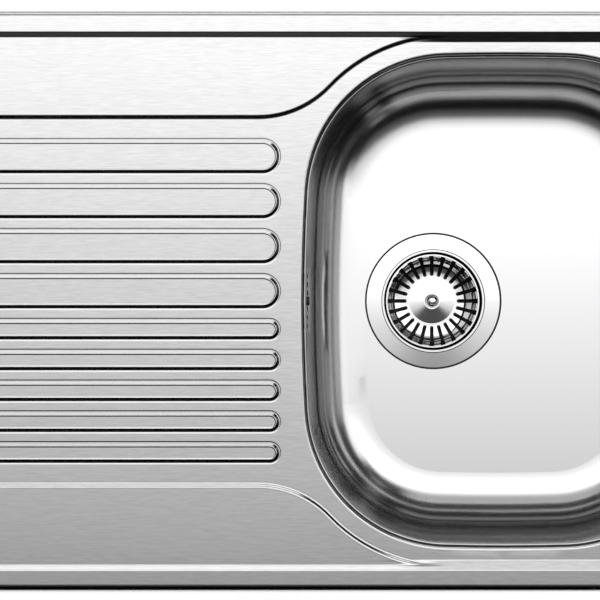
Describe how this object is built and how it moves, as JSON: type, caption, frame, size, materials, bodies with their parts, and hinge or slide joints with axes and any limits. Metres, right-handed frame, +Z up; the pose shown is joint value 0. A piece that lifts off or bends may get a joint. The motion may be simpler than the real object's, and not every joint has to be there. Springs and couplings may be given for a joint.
{
  "type": "inset kitchen sink",
  "caption": "Stainless steel inset kitchen sink with a ribbed drainer, a deep rounded bowl, lift-out basket strainer, overflow and screw clamps for the worktop.",
  "frame": {"origin": "middle of the outline on the worktop plane, which the rim seal rests on", "axes": "+X from the drainer to the bowl, +Y to the back, +Z up"},
  "size_m": [0.78, 0.5, 0.2634],
  "materials": {
    "deck_steel": "brushed along the length",
    "bowl_steel": "satin",
    "bright_steel": "polished",
    "plated_steel": "zinc plated",
    "foam": "closed-cell foam",
    "rubber": "matt",
    "bitumen": "matt",
    "plastic": "moulded",
    "brass": "machined"
  },
  "bodies": {
    "sink": {"body_gasket": "rubber", "bowl": "bowl_steel", "bowl_pad": "bitumen", "clamp_bracket_back_1": "plated_steel", "clamp_bracket_back_2": "plated_steel", "clamp_bracket_back_3": "plated_steel", "clamp_bracket_front_1": "plated_steel", "clamp_bracket_front_2": "plated_steel", "clamp_bracket_front_3": "plated_steel", "clamp_bracket_left_1": "plated_steel", "clamp_bracket_right_1": "plated_steel", "cup_gasket": "rubber", "deck": "deck_steel", "drainer_pad": "bitumen", "head_nut": "plastic", "head_seal": "rubber", "inlet_nut": "plastic", "inlet_seal": "rubber", "overflow_gasket": "rubber", "overflow_head": "plastic", "overflow_pipe": "plastic", "overflow_screw": "bright_steel", "rail_back": "plated_steel", "rail_front": "plated_steel", "rail_left": "plated_steel", "rail_right": "plated_steel", "rim_seal": "foam", "strainer_cup": "bright_steel", "waste_body": "plastic", "waste_nut": "brass", "waste_screw": "bright_steel"},
    "basket": {"basket": "bright_steel", "basket_knob": "bright_steel", "basket_nut": "bright_steel", "basket_stopper": "rubber"},
    "jaw_back_1": {"clamp_jaw_back_1": "plated_steel"},
    "screw_back_1": {"clamp_screw_back_1": "plated_steel"},
    "jaw_back_2": {"clamp_jaw_back_2": "plated_steel"},
    "screw_back_2": {"clamp_screw_back_2": "plated_steel"},
    "jaw_back_3": {"clamp_jaw_back_3": "plated_steel"},
    "screw_back_3": {"clamp_screw_back_3": "plated_steel"},
    "jaw_front_1": {"clamp_jaw_front_1": "plated_steel"},
    "screw_front_1": {"clamp_screw_front_1": "plated_steel"},
    "jaw_front_2": {"clamp_jaw_front_2": "plated_steel"},
    "screw_front_2": {"clamp_screw_front_2": "plated_steel"},
    "jaw_front_3": {"clamp_jaw_front_3": "plated_steel"},
    "screw_front_3": {"clamp_screw_front_3": "plated_steel"},
    "jaw_left_1": {"clamp_jaw_left_1": "plated_steel"},
    "screw_left_1": {"clamp_screw_left_1": "plated_steel"},
    "jaw_right_1": {"clamp_jaw_right_1": "plated_steel"},
    "screw_right_1": {"clamp_screw_right_1": "plated_steel"}
  },
  "joints": [
    {"name": "basket_lift", "type": "slide", "parent": "sink", "child": "basket", "axis": [0, 0, 1], "range_m": [0, 0.26]},
    {"name": "jaw_back_1_slide", "type": "slide", "parent": "sink", "child": "jaw_back_1", "axis": [0, 0, 1], "range_m": [0, 0.026]},
    {"name": "screw_back_1_turn", "type": "hinge", "parent": "jaw_back_1", "child": "screw_back_1", "pos_m": [-0.27, 0.2265, 0], "axis": [0, 0, 1], "range_deg": [0, 11701]},
    {"name": "jaw_back_2_slide", "type": "slide", "parent": "sink", "child": "jaw_back_2", "axis": [0, 0, 1], "range_m": [0, 0.026]},
    {"name": "screw_back_2_turn", "type": "hinge", "parent": "jaw_back_2", "child": "screw_back_2", "pos_m": [-0.02, 0.2265, 0], "axis": [0, 0, 1], "range_deg": [0, 11701]},
    {"name": "jaw_back_3_slide", "type": "slide", "parent": "sink", "child": "jaw_back_3", "axis": [0, 0, 1], "range_m": [0, 0.026]},
    {"name": "screw_back_3_turn", "type": "hinge", "parent": "jaw_back_3", "child": "screw_back_3", "pos_m": [0.23, 0.2265, 0], "axis": [0, 0, 1], "range_deg": [0, 11701]},
    {"name": "jaw_front_1_slide", "type": "slide", "parent": "sink", "child": "jaw_front_1", "axis": [0, 0, 1], "range_m": [0, 0.026]},
    {"name": "screw_front_1_turn", "type": "hinge", "parent": "jaw_front_1", "child": "screw_front_1", "pos_m": [0.23, -0.2265, 0], "axis": [0, 0, 1], "range_deg": [0, 11701]},
    {"name": "jaw_front_2_slide", "type": "slide", "parent": "sink", "child": "jaw_front_2", "axis": [0, 0, 1], "range_m": [0, 0.026]},
    {"name": "screw_front_2_turn", "type": "hinge", "parent": "jaw_front_2", "child": "screw_front_2", "pos_m": [-0.02, -0.2265, 0], "axis": [0, 0, 1], "range_deg": [0, 11701]},
    {"name": "jaw_front_3_slide", "type": "slide", "parent": "sink", "child": "jaw_front_3", "axis": [0, 0, 1], "range_m": [0, 0.026]},
    {"name": "screw_front_3_turn", "type": "hinge", "parent": "jaw_front_3", "child": "screw_front_3", "pos_m": [-0.27, -0.2265, 0], "axis": [0, 0, 1], "range_deg": [0, 11701]},
    {"name": "jaw_left_1_slide", "type": "slide", "parent": "sink", "child": "jaw_left_1", "axis": [0, 0, 1], "range_m": [0, 0.026]},
    {"name": "screw_left_1_turn", "type": "hinge", "parent": "jaw_left_1", "child": "screw_left_1", "pos_m": [-0.3665, 0, 0], "axis": [0, 0, 1], "range_deg": [0, 11701]},
    {"name": "jaw_right_1_slide", "type": "slide", "parent": "sink", "child": "jaw_right_1", "axis": [0, 0, 1], "range_m": [0, 0.026]},
    {"name": "screw_right_1_turn", "type": "hinge", "parent": "jaw_right_1", "child": "screw_right_1", "pos_m": [0.3665, 0, 0], "axis": [0, 0, 1], "range_deg": [0, 11701]}
  ],
  "couplings": [
    {"joint": "screw_back_1_turn", "follows": "jaw_back_1_slide", "rad_per_m": 7854},
    {"joint": "screw_back_2_turn", "follows": "jaw_back_2_slide", "rad_per_m": 7854},
    {"joint": "screw_back_3_turn", "follows": "jaw_back_3_slide", "rad_per_m": 7854},
    {"joint": "screw_front_1_turn", "follows": "jaw_front_1_slide", "rad_per_m": 7854},
    {"joint": "screw_front_2_turn", "follows": "jaw_front_2_slide", "rad_per_m": 7854},
    {"joint": "screw_front_3_turn", "follows": "jaw_front_3_slide", "rad_per_m": 7854},
    {"joint": "screw_left_1_turn", "follows": "jaw_left_1_slide", "rad_per_m": 7854},
    {"joint": "screw_right_1_turn", "follows": "jaw_right_1_slide", "rad_per_m": 7854}
  ]
}
